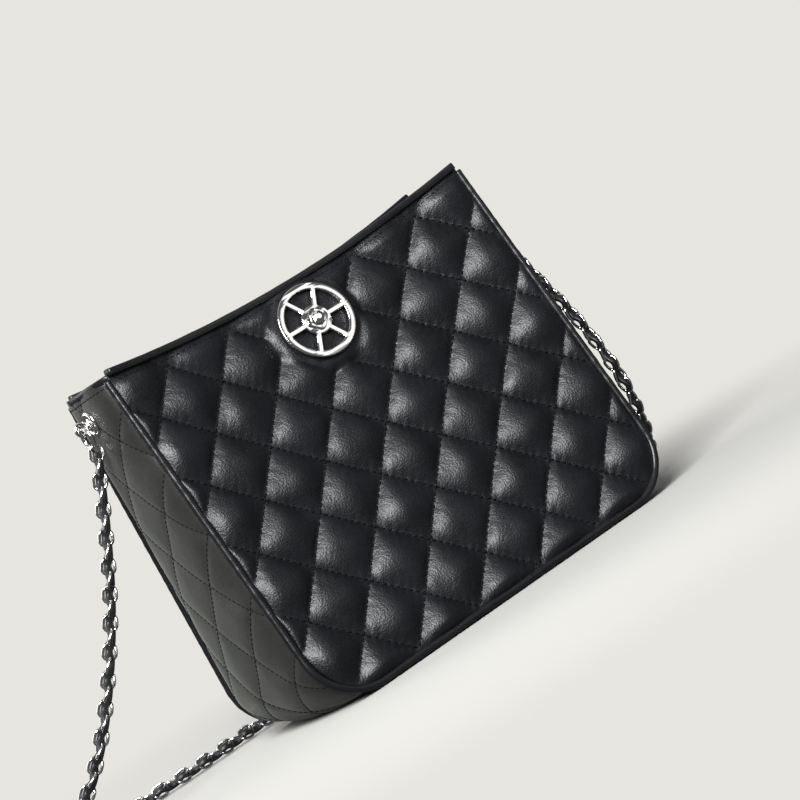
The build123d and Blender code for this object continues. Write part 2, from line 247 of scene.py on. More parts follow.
def stitch_row(line, normals, pitch, length, radius, lift=0.0):
    """Centres, directions, normals and sizes of the stitches along a line on a surface."""
    run = along(line)
    count = int(run[-1] / pitch)
    if count < 1:
        return []
    middle = (np.arange(count) + 0.5) * run[-1] / count
    centre = at(line, run, middle)
    ahead = at(line, run, np.minimum(middle + length / 2, run[-1]))
    behind = at(line, run, np.maximum(middle - length / 2, 0))
    direction = unit(ahead - behind)
    normal = unit(at(normals, run, middle))
    return list(zip(centre + normal * lift, direction, normal, [length] * count, [radius] * count))


def stitches(name, rows, material):
    """One mesh of many short threads, each dipping into the leather at both ends."""
    turns = np.arange(STITCH_SIDES)[:, None] * TAU / STITCH_SIDES
    rings = len(STITCH_RINGS)
    faces = grid_faces(rings, STITCH_SIDES, wrap_cols=True) + end_faces(rings, STITCH_SIDES)
    threads = []
    for centre, direction, normal, length, radius in rows:
        round_it = np.cross(direction, normal) * np.cos(turns) + normal * np.sin(turns)
        points = [
            centre + direction * place * length + normal * dip * radius + round_it * radius * swell
            for place, swell, dip in STITCH_RINGS
        ]
        threads.append((np.concatenate(points), faces))
    return built(name, *joined(threads), material)


def tube(line, sideways, profile, closed=False):
    """Points and faces of a profile swept along a line; its first axis runs sideways."""
    line = np.asarray(line, float)
    sideways = np.broadcast_to(np.asarray(sideways, float), line.shape)
    if closed:
        tangent = unit(np.roll(line, -1, axis=0) - np.roll(line, 1, axis=0))
    else:
        tangent = unit(np.gradient(line, axis=0))
    side = unit(sideways - (sideways * tangent).sum(1, keepdims=True) * tangent)
    up = np.cross(tangent, side)
    profile = np.asarray(profile, float)
    if profile.ndim == 2:
        profile = np.repeat(profile[None], len(line), axis=0)
    ring = line[:, None] + side[:, None] * profile[:, :, :1] + up[:, None] * profile[:, :, 1:]
    rows, cols, _ = ring.shape
    faces = grid_faces(rows, cols, wrap_rows=closed, wrap_cols=True)
    if not closed:
        faces += end_faces(rows, cols)
    return ring.reshape(-1, 3), faces


def oval(a, b, sides, power=2.0):
    """Profile of a tube, from round to nearly rectangular as power rises."""
    turn = np.arange(sides) * TAU / sides
    c, s = np.cos(turn), np.sin(turn)
    wide = a * np.sign(c) * np.abs(c) ** (2 / power)
    high = b * np.sign(s) * np.abs(s) ** (2 / power)
    return np.stack([wide, high], axis=1)


def circle_about(centre, axis, radius, sides):
    """Points of a circle about an axis."""
    axis = Vector(axis).normalized()
    x = axis.orthogonal().normalized()
    y = axis.cross(x)
    turn = np.arange(sides)[:, None] * TAU / sides
    return centre + radius * (np.cos(turn) * np.array(x) + np.sin(turn) * np.array(y))


def turned_part(profile, origin, axis, sides=64):
    """Points and faces of a profile of (distance along the axis, radius) turned about it."""
    rings = [
        circle_about(origin + np.array(axis) * run, axis, radius, sides) for run, radius in profile
    ]
    faces = grid_faces(len(profile), sides, wrap_cols=True) + end_faces(len(profile), sides)
    return np.concatenate(rings), faces


# ---- materials
def set_inputs(tree, node, inputs):
    """Set a node's inputs, and link those that are given another node's output."""
    for name, value in inputs.items():
        if isinstance(value, bpy.types.NodeSocket):
            tree.links.new(value, node.inputs[name])
        else:
            node.inputs[name].default_value = value


def added(tree, kind, inputs):
    """New node with its inputs set or linked."""
    node = tree.nodes.new(kind)
    set_inputs(tree, node, inputs)
    return node


def new_material(name):
    """New material, its nodes and their place on the object."""
    material = bpy.data.materials.new(name)
    material.use_nodes = True
    tree = material.node_tree
    return material, tree, tree.nodes.new("ShaderNodeTexCoord").outputs["Object"]


def shaded(material, inputs):
    """The material, with its shader's inputs set or linked."""
    tree = material.node_tree
    set_inputs(tree, tree.nodes["Principled BSDF"], inputs)
    return material


def noise(tree, place, scale, detail=3, rough=0.5):
    inputs = {"Vector": place, "Scale": scale, "Detail": detail, "Roughness": rough}
    return added(tree, "ShaderNodeTexNoise", inputs).outputs["Fac"]


def ramp(tree, fac, low, high, dark, light):
    node = added(tree, "ShaderNodeValToRGB", {"Fac": fac})
    for element, position, colour in zip(node.color_ramp.elements, (low, high), (dark, light)):
        element.position = position
        element.color = (*colour, 1)
    return node.outputs["Color"]


def spread(tree, fac, low, high):
    inputs = {"Value": fac, "From Min": 0.25, "From Max": 0.75, "To Min": low, "To Max": high}
    return added(tree, "ShaderNodeMapRange", inputs).outputs["Result"]


def bump(tree, height, distance, strength, below=None, invert=False):
    inputs = {"Height": height, "Distance": distance, "Strength": strength}
    if below is not None:
        inputs["Normal"] = below
    node = added(tree, "ShaderNodeBump", inputs)
    node.invert = invert
    return node.outputs["Normal"]


def leather(
    name, dark, light, rough, grain, depth, strength, sheen=0, tint=(1, 1, 1), specular=0.5
):
    """Grained leather: pebbles, pores and slow changes of tone and gloss."""
    material, tree, place = new_material(name)
    tone = noise(tree, place, scale=34, detail=4)
    gloss = noise(tree, place, scale=260, detail=4, rough=0.65)
    soft = noise(tree, place, scale=150)
    pebble = tree.nodes.new("ShaderNodeTexVoronoi")
    pebble.feature = "SMOOTH_F1"
    set_inputs(tree, pebble, {"Vector": place, "Scale": grain, "Smoothness": 0.6})
    pores = noise(tree, place, scale=grain * 2.6, rough=0.6)
    low = bump(tree, soft, distance=0.6 * MM, strength=0.12)
    mid = bump(tree, pebble.outputs["Distance"], depth, strength, below=low, invert=True)
    return shaded(material, {
        "Base Color": ramp(tree, tone, 0.35, 0.68, dark, light),
        "Roughness": spread(tree, gloss, rough - 0.06, rough + 0.07),
        "Normal": bump(tree, pores, depth * 0.6, strength * 0.5, below=mid),
        "Sheen Weight": sheen,
        "Sheen Roughness": 0.4,
        "Sheen Tint": (*tint, 1),
        "Specular IOR Level": specular,
    })


def metal(name, colour, shade, rough, scratch):
    """Polished plating with faint wear."""
    material, tree, place = new_material(name)
    worn = noise(tree, place, scale=420, detail=5, rough=0.6)
    fine = noise(tree, place, scale=2600, detail=2)
    return shaded(material, {
        "Base Color": ramp(tree, worn, 0.3, 0.7, shade, colour),
        "Metallic": 1,
        "Roughness": spread(tree, worn, rough * 0.7, rough * 1.5),
        "Normal": bump(tree, fine, distance=0.04 * MM, strength=scratch),
    })


def cloth(name, dark, light, thread):
    """Fine twill."""
    material, tree, place = new_material(name)
    normal = None
    for direction in ("X", "Z"):
        wave = added(
            tree, "ShaderNodeTexWave",
            {"Vector": place, "Scale": thread, "Distortion": 0.6, "Detail": 1},
        )
        wave.bands_direction = direction
        normal = bump(tree, wave.outputs["Fac"], 0.12 * MM, 0.55, below=normal)
    tone = noise(tree, place, scale=70, detail=4)
    return shaded(material, {
        "Base Color": ramp(tree, tone, 0.35, 0.7, dark, light),
        "Roughness": 0.9,
        "Normal": normal,
        "Sheen Weight": 0.25,
    })


def thread_material(name, dark, light):
    """Twisted sewing thread."""
    material, tree, place = new_material(name)
    twist = noise(tree, place, scale=2400, detail=2)
    return shaded(material, {
        "Base Color": ramp(tree, twist, 0.35, 0.65, dark, light),
        "Roughness": 0.75,
        "Normal": bump(tree, twist, distance=0.1 * MM, strength=0.6),
        "Specular IOR Level": 0.15,
    })


QUILT = leather(
    "quilted_leather", (0.003, 0.0033, 0.0044), (0.006, 0.0065, 0.0084),
    rough=0.42, grain=1200, depth=0.25 * MM, strength=0.5, specular=0.6,
)
STRIP = leather(
    "strip_leather", (0.0145, 0.015, 0.013), (0.023, 0.0232, 0.0198),
    rough=0.46, grain=1300, depth=0.16 * MM, strength=0.35, sheen=0.16, tint=(0.97, 1.0, 0.9),
)
TRIM = leather(
    "trim_leather", (0.006, 0.006, 0.007), (0.012, 0.012, 0.013),
    rough=0.3, grain=1500, depth=0.1 * MM, strength=0.2,
)
THONG = leather(
    "thong_leather", (0.007, 0.007, 0.008), (0.016, 0.016, 0.017),
    rough=0.42, grain=1600, depth=0.1 * MM, strength=0.3,
)
LINING = cloth("lining_cloth", (0.012, 0.012, 0.013), (0.022, 0.022, 0.023), thread=900)
THREAD = thread_material("black_thread", (0.002, 0.002, 0.0025), (0.006, 0.006, 0.007))
SILVER = metal("bright_metal", (0.93, 0.91, 0.88), (0.84, 0.82, 0.79), rough=0.10, scratch=0.10)
SNAP = metal("snap_metal", (0.78, 0.77, 0.75), (0.66, 0.65, 0.63), rough=0.22, scratch=0.15)
BOARD = cloth("board", (0.25, 0.21, 0.16), (0.36, 0.31, 0.24), thread=300)

# ---- camera
AZIMUTH, ELEVATION, ROLL = radians(27.41), radians(1.51), radians(31.88)
TARGET = Vector((0.0265, 0, 0.0969))
DISTANCE = 1.356
view_back = Vector((
    -sin(AZIMUTH) * cos(ELEVATION),
    -cos(AZIMUTH) * cos(ELEVATION),
    sin(ELEVATION),
))
level_right = Vector((cos(AZIMUTH), -sin(AZIMUTH), 0))
level_up = level_right.cross(-view_back)
view_right = level_right * cos(ROLL) - level_up * sin(ROLL)
view_up = level_right * sin(ROLL) + level_up * cos(ROLL)

optics = bpy.data.cameras.new("camera")
optics.lens = 135
optics.sensor_width = 36
optics.clip_start = 0.05
optics.clip_end = 200
camera = linked("camera", optics)
turn = Matrix((view_right, view_up, view_back)).transposed().to_4x4()
camera.matrix_world = Matrix.Translation(TARGET + view_back * DISTANCE) @ turn
bpy.context.scene.camera = camera

# ---- strap: a chain laced with a thong
STRAP_ROUTE_MM = (
    (-112, 0, 148), (-131, 2, 108), (-156, 5, 68), (-184, 9, 34), (-217, 15, 10), (-252, 24, 3.8),
    (-279, 46, 3.8), (-282, 78, 3.8), (-258, 99, 3.8), (-220, 103, 3.8), (-174, 95, 3.8),
    (-122, 82, 3.8), (-66, 84, 3.8), (-12, 76, 3.8), (40, 76, 3.8), (79, 88, 3.8), (96, 119, 3.8),
    (77, 148, 3.8), (46, 158, 3.8), (28, 184, 3.8), (40, 213, 3.8), (72, 224, 3.8),
    (104, 206, 3.8), (128, 172, 3.8), (140, 130, 3.8), (142, 86, 3.8), (136, 40, 3.9),
    (128, 3, 12), (124, -15, 46), (120, -15, 84), (115, -7, 118), (112, 0, 148),
)
LINK_PITCH = 6.1 * MM
LINK_WIDTH = 7.1 * MM
LINK_WIRE = 0.7 * MM
LINK_TWIST = 0.32
LINK_TILT, TILT_SPREAD = 0.3, 0.09  # radians about the strap
THONG_WIDTH = 2.1 * MM
THONG_THICK = 1.1 * MM
THONG_SWING = 2.6 * MM
THONG_SINK = 0.6 * MM
THONG_PINCH = 0.22
THONG_STEP = 0.9 * MM
THONG_TUCK = 0.4 * MM
END_RUN = 56 * MM
FINE_STEP = 0.5 * MM


def route_line():
    """Points of the smooth line through the strap's route."""
    curve = bpy.data.curves.new("route", "CURVE")
    curve.dimensions = "3D"
    curve.resolution_u = 24
    spline = curve.splines.new("NURBS")
    spline.points.add(len(STRAP_ROUTE_MM) - 1)
    for point, place in zip(spline.points, STRAP_ROUTE_MM):
        point.co = (*(c * MM for c in place), 1)
    spline.order_u = 3
    spline.use_endpoint_u = True
    mesh = mesh_of(curve)
    line = np.array([v.co for v in mesh.vertices], float)
    bpy.data.meshes.remove(mesh)
    return line


strap_line = route_line()
strap_run = along(strap_line)
strap_length = strap_run[-1]


def carried_frames(line, run, first, last):
    """Directions along a line and two sideways, turning little from the first to the last."""
    tangent = unit(np.gradient(line, axis=0))
    side = np.zeros_like(line)
    current = np.array(first, float)
    for i, t in enumerate(tangent):
        current = current - (current @ t) * t
        current /= np.linalg.norm(current)
        side[i] = current
    up = np.cross(tangent, side)
    goal = np.array(last, float)
    goal = goal - (goal @ tangent[-1]) * tangent[-1]
    twist = atan2(goal @ up[-1], goal @ side[-1])
    angle = (twist * run / run[-1])[:, None]
    side = side * np.cos(angle) + up * np.sin(angle)
    return tangent, side, np.cross(tangent, side)


fine_run = np.linspace(0, strap_length, int(strap_length / FINE_STEP))
fine_line = at(strap_line, strap_run, fine_run)
tangents, sides, ups = carried_frames(fine_line, fine_run, (1, 0, 0), (-1, 0, 0))


def frame_at(where):
    """Place, direction and two sideways directions at a distance along the strap.

    Beyond its ends the strap runs straight.
    """
    inside = min(max(where, 0), strap_length)
    place, t, s, u = (at(a, fine_run, [inside])[0] for a in (fine_line, tangents, sides, ups))
    return place + t * (where - inside), unit(t), unit(s), unit(u)


def chain_link(where, quarter, tilt):
    """One oval link at a distance along the strap, a quarter turn about it or none."""
    place, t, s, u = frame_at(where)
    angle = quarter * pi / 2 + tilt
    width = s * cos(angle) + u * sin(angle)
    normal = np.cross(t, width)
    straight = (LINK_PITCH + 4 * LINK_WIRE - LINK_WIDTH) / 2
    radius = LINK_WIDTH / 2 - LINK_WIRE
    half = np.linspace(-pi / 2, pi / 2, 9)
    xs = np.concatenate([radius * np.sin(half), -radius * np.sin(half)])
    ys = np.concatenate([straight + radius * np.cos(half), -straight - radius * np.cos(half)])
    twist = LINK_TWIST * xs * ys / radius
    line = place + xs[:, None] * width + ys[:, None] * t + twist[:, None] * normal
    return tube(line, normal, oval(LINK_WIRE, LINK_WIRE, 9), closed=True)


def thong(start, stop):
    """The leather thong between two distances along the strap, woven through the links."""
    where = np.arange(start, stop, THONG_STEP)
    line, side_at = [], []
    for w in where:
        place, t, s, u = frame_at(w)
        swing = 0.5 - 0.5 * cos(pi * w / link_pitch)
        line.append(place + u * (THONG_SWING * swing - THONG_SINK))
        side_at.append(s)
    shape = oval(THONG_WIDTH, THONG_THICK, 14, 2.6)
    pinch = 1 - THONG_PINCH * np.cos(pi * where / link_pitch) ** 2
    profile = shape[None] * np.stack([pinch, 2 - pinch], axis=1)[:, None, :]
    return tube(line, side_at, profile)


link_count = int(strap_length / LINK_PITCH / 2) * 2
link_pitch = strap_length / link_count
end_links = int(END_RUN / link_pitch)
tilts = np.random.default_rng(4).normal(0, TILT_SPREAD, link_count + 1)


def chain_links(first, last):
    """The links from first to last."""
    return joined(
        [chain_link(i * link_pitch, i % 2, LINK_TILT + tilts[i]) for i in range(first, last + 1)]
    )


weave_start = (end_links + 0.5) * link_pitch
weave_stop = strap_length - weave_start
chain = built("strap_chain", *chain_links(end_links + 1, link_count - end_links - 1), SILVER)
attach(chain, "bag")
weave = built("strap_thong", *thong(weave_start, weave_stop), THONG)
riding(weave, "bag", "strap_mix")
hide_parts("strap")
for (side, side_name), inner, numbers, run in zip(
    ENDS,
    (weave_start, weave_stop),
    ((0, end_links), (link_count - end_links, link_count)),
    ((-THONG_TUCK, weave_start), (weave_stop, strap_length + THONG_TUCK)),
):
    for part, shape, material in (
        ("chain", chain_links(*numbers), SILVER),
        ("thong", thong(*run), THONG),
    ):
        piece = built(f"strap_end_{part}_{side_name}", *shape, material)
        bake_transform(piece)

# ---- quilted panels
CELL = 25 * MM
DIAGONAL = CELL * sqrt(2)
NODE_HEIGHT = 129.4 * MM
PANEL_STEP = 0.85 * MM
PANEL_DROP = 2.0 * MM
SKIN_BACK = 5.2 * MM
SKIN_INSET = 0.4 * MM
BINDING_HEIGHT = 3 * MM
# the padding: its height, how flat its crowns are, and how unequal from cell to cell
PUFF = 4.6 * MM
CROWN = 0.92
UNEQUAL = 0.07, 0.03
# it thins out towards the seams at the sides and the foot, and to a share of itself at the mouth
BORDER_RUN = 6.5 * MM
MOUTH_RUN, MOUTH_START = 7.0 * MM, 0.4 * MM
MOUTH_SHARE, MOUTH_LEAST = 0.30, 0.16
# slow sag, and puckers beside the stitches, as shares of the padding's height
SAG, SAG_SIZE = 0.045, 17 * MM
PUCKER, PUCKER_SIZE = 0.03, 3.4 * MM
PUCKER_REACH, PUCKER_CLEAR = 2.6 * MM, 0.5 * MM
# smooth patch under the ornament, with a groove round it
PATCH_RADIUS = 20.6 * MM
PATCH_FADE, PATCH_START = 4.6 * MM, 0.8 * MM
PATCH_LEVEL, PATCH_SAG, PATCH_SAG_SIZE = 0.74, 0.03, 9 * MM
GROOVE, GROOVE_WIDTH = 0.06, 0.9 * MM
# stitches: pitch, length and radius
QUILT_STITCH = 2.9 * MM, 2.2 * MM, 0.42 * MM
MOUTH_STITCH = 2.9 * MM, 2.3 * MM, 0.24 * MM
STITCH_BED = 0.40 * MM


def puff_profile(s):
    """Height of a stuffed channel from 1 in the middle to 0 at the seam, s from 0 to 1."""
    return np.clip(1 - s ** 2, 0, 1)


def lattice(x, z):
    """Distances in metres to the two families of quilting lines, and the cell's whole numbers."""
    a = (x + z - NODE_HEIGHT) / DIAGONAL
    b = (x - z + NODE_HEIGHT) / DIAGONAL
    return (a - np.round(a)) * CELL, (b - np.round(b)) * CELL, np.floor(a), np.floor(b)


def edge_gap(x, z):
    """Distances inwards from a panel's seam at the sides and foot, and from its top binding."""
    cx, cz = np.abs(x) - (HALF - CORNER_RADIUS), (SEAM_BASE + CORNER_RADIUS) - z
    corner = CORNER_RADIUS - np.hypot(cx, cz)
    gap = np.minimum(HALF - np.abs(x), z - SEAM_BASE)
    gap = np.where((cx > 0) & (cz > 0), corner, gap)
    return gap, mouth_height(x) - BINDING_HEIGHT - z


def quilting(x, z, patch):
    """Height of the padded leather over its seams."""
    da, db, ia, ib = lattice(x, z)
    gap, top_gap = edge_gap(x, z)
    sa, sb = 1 - np.abs(da) / (CELL / 2), 1 - np.abs(db) / (CELL / 2)
    cell_swell = 1 + UNEQUAL[0] * np.sin(ia * 12.9898 + ib * 78.233)
    cell_swell = cell_swell + UNEQUAL[1] * np.cos(ia * 5.1 - ib * 9.7)
    height = (puff_profile(sa) * puff_profile(sb)) ** CROWN * cell_swell
    border = np.clip(gap / BORDER_RUN, 0, 1)
    height = height * (1 - (1 - border) ** 2.2) ** 0.7
    near_top = smoothstep((top_gap + MOUTH_START) / MOUTH_RUN)
    height = height * (MOUTH_SHARE + (1 - MOUTH_SHARE) * near_top)
    height = height + MOUTH_LEAST * (1 - near_top)
    height = height + SAG * waves(x, z, SAG_SIZE, 1) * smoothstep(height * 2)
    for d, other, seed in ((da, x - z, 11), (db, x + z, 12)):
        fade = np.exp(-np.abs(d) / PUCKER_REACH) * np.clip(np.abs(d) / PUCKER_CLEAR, 0, 1)
        pucker = waves(other, d * 0.3, PUCKER_SIZE, seed, 5)
        height = height + PUCKER * pucker * fade
    if patch:
        radius = np.hypot(x, z - ORNAMENT_HEIGHT)
        inside = 1 - smoothstep((radius - PATCH_RADIUS + PATCH_START) / PATCH_FADE)
        level = PATCH_LEVEL + PATCH_SAG * waves(x, z, PATCH_SAG_SIZE, 5)
        groove = np.exp(-((radius - PATCH_RADIUS) / GROOVE_WIDTH) ** 2)
        height = height * (1 - inside) + level * inside
        height = height - GROOVE * groove * np.clip(height * 1.6, 0, 1)
    return height * PUFF


def panel_point(side, x, z, height):
    """Points of the quilted face whose crown touches the smooth outer face, and their normals."""
    base = panel_face(side, x, z)
    lean = LEAN + (CENTRE_LEAN - LEAN) * (1 - (x / REACH) ** 2)
    across = -2 * x * bow(z) / REACH ** 2
    normal = unit(np.stack([across, side * np.cos(lean), np.sin(lean)], axis=-1))
    return base + normal * (height - PUFF)[..., None], normal


def panel_grid(step):
    """Across and height of an even grid over a panel, its rows following the rounded foot."""
    corner_top = SEAM_BASE + CORNER_RADIUS
    turn = np.linspace(0, pi / 2, int(34 * MM / step))
    foot = SEAM_BASE + CORNER_RADIUS * (1 - np.cos(turn))
    rows = np.linspace(corner_top, CORNER_TOP, int(148 * MM / step))[1:]
    heights = np.concatenate([foot, rows])
    below = np.clip((corner_top - heights) / CORNER_RADIUS, 0, 1)
    width = HALF - CORNER_RADIUS + CORNER_RADIUS * np.sqrt(np.clip(1 - below ** 2, 0, 1))
    share = np.linspace(-1, 1, int(2 * HALF / step) + 1)
    x = width[:, None] * share[None]
    rise = np.clip((heights - corner_top) / (CORNER_TOP - corner_top), 0, 1)
    z = heights[:, None] - rise[:, None] * (CORNER_TOP - mouth_height(x) + PANEL_DROP)
    return x, z


def quilted_panel(side, side_name, body):
    x, z = panel_grid(PANEL_STEP)
    outer, _ = panel_point(side, x, z, quilting(x, z, side == FRONT))
    inner = panel_face(side, x * (1 - SKIN_INSET / HALF), z, SKIN_BACK)
    piece = built(f"{side_name}_quilt", *sheet_between(outer, inner), QUILT)
    riding(piece, body, "quilted_leather", f"{side_name}_panel", f"{side_name}_wadding")


def quilt_lines(patch):
    """The quilting lines as runs of (across, height), clear of the seams and of the patch."""
    runs = []
    z = np.arange(SEAM_BASE, CORNER_TOP, 0.5 * MM)
    for k in range(-9, 10):
        for slant in (1, -1):
            x = k * DIAGONAL - slant * (z - NODE_HEIGHT)
            gap, top_gap = edge_gap(x, z)
            clear = (np.abs(x) < HALF - 1.5 * MM) & (gap > 1.8 * MM) & (top_gap > 3.4 * MM)
            if patch:
                clear &= np.hypot(x, z - ORNAMENT_HEIGHT) > PATCH_RADIUS + 3.6 * MM
            runs += [(x[a:b], z[a:b]) for a, b in true_runs(clear) if b - a > 6]
    return runs


def panel_stitches(side, side_name, body):
    patch = side == FRONT
    rows = []
    for x, z in quilt_lines(patch):
        line, normal = panel_point(side, x, z, np.full_like(x, STITCH_BED))
        rows += stitch_row(line, normal, *QUILT_STITCH)
    x = np.linspace(-HALF + 3 * MM, HALF - 3 * MM, 400)
    z = mouth_height(x) - BINDING_HEIGHT - 2.3 * MM
    line, normal = panel_point(side, x, z, quilting(x, z, patch))
    rows += stitch_row(line, normal, *MOUTH_STITCH)
    piece = stitches(f"{side_name}_quilt_stitches", rows, THREAD)
    riding(piece, body, "trim_leather")


for panel in PANELS:
    quilted_panel(*panel)
for panel in PANELS:
    panel_stitches(*panel)

# ---- piping and top bindings
PIPING_DEPTH = 5.2 * MM
PIPING_RADIUS = 1.7 * MM
BEAD_TOP = CORNER_TOP - BINDING_HEIGHT
TAPE_DEPTH = 6.9 * MM
TAPE_WIDTH = 4 * MM
TAPE_THICK = 0.7 * MM
BINDING_DEPTH = 2.9 * MM
BINDING_THICK = 2.3 * MM
BINDING_SIDES, BINDING_SQUARE = 20, 4.5


def u_line(half_width, base, corner, top, step):
    """Outline of a panel as (across, height): down its left side, under it and up its right."""
    sides = np.arange(top, base + corner, -step)
    count = int(corner * pi / 2 / step)
    arc = np.arange(1, count) / count * pi / 2
    cx, cz = half_width - corner, base + corner
    left = np.stack([np.full_like(sides, -half_width), sides], 1)
    corner_left = np.stack([-cx - corner * np.cos(arc), cz - corner * np.sin(arc)], 1)
    bottom = np.arange(-cx, 0, step)
    foot = np.stack([bottom, np.full_like(bottom, base)], 1)
    half = np.concatenate([left, corner_left, foot])
    return np.concatenate([half, [[0, base]], half[::-1] * (-1, 1)])


def seam_point(side, line, depth):
    """Points of an outline on the plane of a panel's seams; its second number runs up the slope."""
    y = side * (DEPTH_BASE / 2 - depth / cos(LEAN)) - side * line[:, 1] * sin(LEAN)
    return np.stack([line[:, 0], y, line[:, 1] * cos(LEAN)], 1)


for side, side_name, body in PANELS:
    half, base = HALF + PIPING_RADIUS, SEAM_BASE - PIPING_RADIUS
    outline = u_line(half, base, CORNER_RADIUS + PIPING_RADIUS, BEAD_TOP, 1.2 * MM)
    line = seam_point(side, outline, PIPING_DEPTH)
    run = along(line)
    crease = 1 + 0.035 * waves(run, 0, 6 * MM, 21 + side)
    crease = crease + 0.02 * waves(run, 0, 1.9 * MM, 22 + side)
    profile = oval(PIPING_RADIUS, PIPING_RADIUS, 16)[None] * crease[:, None, None]
    bead = tube(line, (0, side * cos(LEAN), sin(LEAN)), profile)
    outline = u_line(HALF, SEAM_BASE, CORNER_RADIUS, BEAD_TOP, 2 * MM)
    tape_out = seam_point(side, outline, TAPE_DEPTH)
    tape_in = seam_point(side, outline * ((HALF - TAPE_WIDTH) / HALF, 1), TAPE_DEPTH)
    tape_in[:, 2] += np.where(tape_out[:, 2] < SEAM_BASE + CORNER_RADIUS, TAPE_WIDTH * 0.8, 0)
    tape_grid = np.stack([tape_out, (tape_out + tape_in) / 2, tape_in], axis=1)
    thickness = np.array([0, side * TAPE_THICK / 2, 0])
    tape = sheet_between(tape_grid + thickness, tape_grid - thickness)
    piece = built(f"{side_name}_piping_bead", *joined([bead, tape]), TRIM)
    riding(piece, body, "trim_leather", f"{side_name}_piping")

    x = np.linspace(-HALF, HALF, 180)
    top_line = panel_face(side, x, mouth_height(x) - BINDING_HEIGHT / 2, BINDING_DEPTH)
    wobble = 1 + 0.02 * waves(x, 0, 12 * MM, 31 + side)
    profile = oval(BINDING_THICK, BINDING_HEIGHT / 2 + 0.1 * MM, BINDING_SIDES, BINDING_SQUARE)
    shape = tube(top_line, (0, side, 0), profile[None] * wobble[:, None, None])
    piece = built(f"{side_name}_mouth_binding", *shape, TRIM)
    riding(piece, body, "trim_leather", f"{side_name}_top_binding")

# ---- gusset
GUSSET_DEPTH = 7.2 * MM
GUSSET_TOP = CORNER_TOP - 2 * MM
GUSSET_LEATHER = 1.6 * MM
GUSSET_NODE = 129.6 * MM
GUSSET_NODE_Y = 3.6 * MM
GUSSET_ACROSS = 96
GUSSET_GATHER = 0.97
GUSSET_STITCH = 2.6 * MM, 2.15 * MM, 0.25 * MM, 0.06 * MM  # pitch, length, radius and lift
SEAM_WIDTH, SEAM_DENT, DEEPEST = 1.5 * MM, 0.32 * MM, 1.2  # the last where two seams cross
DIAMOND_RISE, DIAMOND_RUN = 0.30 * MM, 9 * MM
SLACK, SLACK_SIZE = 0.22 * MM, 33 * MM
EDGE_COLUMNS = 3  # over which the relief fades in
STITCH_MARGIN = 2  # columns of the grid that the stitches keep from the gusset's edges


def bulge(t):
    """Swelling of the gusset past its seams, t from -1 at the front seam to 1 at the back seam."""
    return SIDE_BULGE * np.clip(1 - np.abs(t) ** 2.6, 0, 1) ** (1 / 1.6)


def gusset_grid(top, across=GUSSET_ACROSS, step=1.1 * MM, edge=0.0):
    """Smooth outer face of the gusset: rows run down the left side, under it and up the right."""
    outline = u_line(HALF, SEAM_BASE, CORNER_RADIUS, top, step)
    t = np.sin(np.linspace(-1, 1, across) * pi / 2 * GUSSET_GATHER)
    t = t / sin(pi / 2 * GUSSET_GATHER)
    e = bulge(t)[None]
    x0, z0 = outline[:, :1], outline[:, 1:]
    low = SEAM_BASE + CORNER_RADIUS
    x = x0 + e * np.clip(x0 / (HALF - CORNER_RADIUS), -1, 1)
    z = z0 - e / 2 * np.clip((top - z0) / (top - low), 0, 1)
    y_back = half_depth(z0) - GUSSET_DEPTH + edge
    y = -y_back + (t[None] + 1) / 2 * (y_back + y_back)
    return np.stack([x, y, z], axis=-1)


def outward(grid):
    """Unit normals of a gusset grid, pointing out of the bag."""
    normal = grid_normals(grid)
    middle = np.array([0, 0, 90 * MM])
    facing = ((grid - middle) * normal).sum(-1).mean()
    return normal if facing > 0 else -normal


gusset_base = gusset_grid(GUSSET_TOP)
gusset_normal = outward(gusset_base)
steps_across = np.linalg.norm(np.diff(gusset_base, axis=1), axis=-1)
across_run = np.concatenate(
    [np.zeros((len(gusset_base), 1)), np.cumsum(steps_across, axis=1)], axis=1
)
for i, row in enumerate(gusset_base):
    across_run[i] -= np.interp(GUSSET_NODE_Y, row[:, 1], across_run[i])
down_run = along(gusset_base[:, 0])
down_run = np.minimum(down_run, down_run[-1] - down_run)
node_run = GUSSET_TOP - GUSSET_NODE
cells_down = round((down_run.max() - node_run) / (DIAGONAL / 2))
down_scale = (down_run.max() - node_run) / cells_down
down_cells = (down_run - node_run) / down_scale
across_cells = across_run / (DIAGONAL / 2)
diagonals = [(across_cells + sign * down_cells[:, None]) / 2 for sign in (1, -1)]
seam_gaps = [np.abs(cells - np.round(cells)) * CELL for cells in diagonals]
dent = sum(np.exp(-((gap / SEAM_WIDTH) ** 2)) for gap in seam_gaps)
swell = np.minimum(np.minimum(*seam_gaps) / DIAMOND_RUN, 1)
relief = DIAMOND_RISE * smoothstep(swell) - SEAM_DENT * np.minimum(dent, DEEPEST)
relief = relief + SLACK * waves(across_run, down_run[:, None], SLACK_SIZE, 41)
from_edge = (1 - np.abs(np.linspace(-1, 1, GUSSET_ACROSS)))[None] * GUSSET_ACROSS / 2
relief = relief * np.clip(from_edge / EDGE_COLUMNS, 0, 1)
gusset_outer = gusset_base + gusset_normal * relief[..., None]
gusset_outer[..., 2] = np.maximum(gusset_outer[..., 2], 0)
gusset_inner = gusset_base - gusset_normal * GUSSET_LEATHER


def blended(piece, slot, *nodes):
    """Hide the CAD nodes that a piece stands for, and bake its place into its points."""
    declare(nodes)
    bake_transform(piece)


gusset = built("gusset_strip", *sheet_between(gusset_outer, gusset_inner), STRIP)
blended(gusset, "strip_leather", "gusset")

